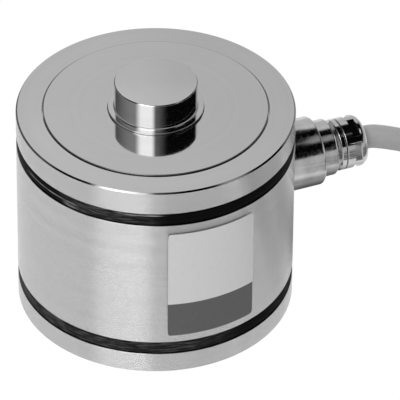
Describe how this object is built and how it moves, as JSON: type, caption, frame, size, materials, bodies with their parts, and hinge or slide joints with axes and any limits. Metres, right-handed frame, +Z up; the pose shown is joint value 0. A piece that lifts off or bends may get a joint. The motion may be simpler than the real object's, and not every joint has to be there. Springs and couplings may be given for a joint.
{
  "type": "strain gauge load cell",
  "caption": "Round steel compression load cell of the ring torsion kind, with a load button on a polished top disc, rubber seal bands, a cable gland and a coiled cable.",
  "frame": {"origin": "centre of the base plate's flat underside, on the can's axis", "axes": "+Z up along the can's axis towards the load button; -Y is the side nearest the picture's camera; the cable entry points to 21.7 degrees from +X towards +Y"},
  "size_m": [0.3066, 0.1611, 0.1019],
  "materials": {
    "can_steel": "finely turned stainless steel",
    "polished_steel": "polished stainless steel",
    "ring_steel": "ground, dull",
    "seal_rubber": "black, matt",
    "gauge_foil": "foil on an amber film",
    "board": "green circuit board",
    "board_metal": "tinned",
    "resistor_body": "black coated",
    "gland_nickel": "nickel plated, bright",
    "claw_plastic": "black nylon",
    "cable_sheath": "grey sheath, satin",
    "core_red": "red insulation",
    "core_black": "black insulation",
    "core_green": "green insulation",
    "core_white": "white insulation",
    "label_foil": "silver foil with a dark lower band, bare",
    "tie_plastic": "black nylon",
    "ferrule_metal": "tinned"
  },
  "bodies": {
    "root": {"base_plate": "can_steel", "sleeve": "can_steel", "head_ring": "can_steel", "cable_boss": "can_steel", "top_diaphragm": "polished_steel", "load_button": "polished_steel", "torsion_ring": "ring_steel", "lower_seal": "seal_rubber", "upper_seal": "seal_rubber", "gland_gasket": "seal_rubber", "gland_seal": "seal_rubber", "gauge_top_inner": "gauge_foil", "gauge_top_outer": "gauge_foil", "gauge_bottom_inner": "gauge_foil", "gauge_bottom_outer": "gauge_foil", "gauge_lead_1": "core_white", "gauge_lead_2": "core_white", "gauge_lead_3": "core_white", "gauge_lead_4": "core_white", "terminal_board": "board", "board_spacer_1": "board_metal", "board_spacer_2": "board_metal", "board_spacer_3": "board_metal", "board_screw_1": "board_metal", "board_screw_2": "board_metal", "board_screw_3": "board_metal", "trim_resistor_1": "resistor_body", "trim_resistor_2": "resistor_body", "trim_resistor_3": "resistor_body", "trim_resistor_4": "resistor_body", "gland_body": "gland_nickel", "gland_nut": "gland_nickel", "gland_claw": "claw_plastic", "cable_inlet": "cable_sheath", "cable_run": "cable_sheath", "cable_coil": "cable_sheath", "cable_tail": "cable_sheath", "screen_lead": "cable_sheath", "signal_core_1": "core_red", "lead_core_1": "core_red", "signal_core_2": "core_black", "lead_core_2": "core_black", "signal_core_3": "core_green", "lead_core_3": "core_green", "signal_core_4": "core_white", "lead_core_4": "core_white", "label": "label_foil", "cable_tie_1": "tie_plastic", "cable_tie_2": "tie_plastic", "end_sleeve": "tie_plastic", "lead_ferrule_1": "ferrule_metal", "lead_ferrule_2": "ferrule_metal", "lead_ferrule_3": "ferrule_metal", "lead_ferrule_4": "ferrule_metal", "screen_ferrule": "ferrule_metal"}
  },
  "joints": []
}
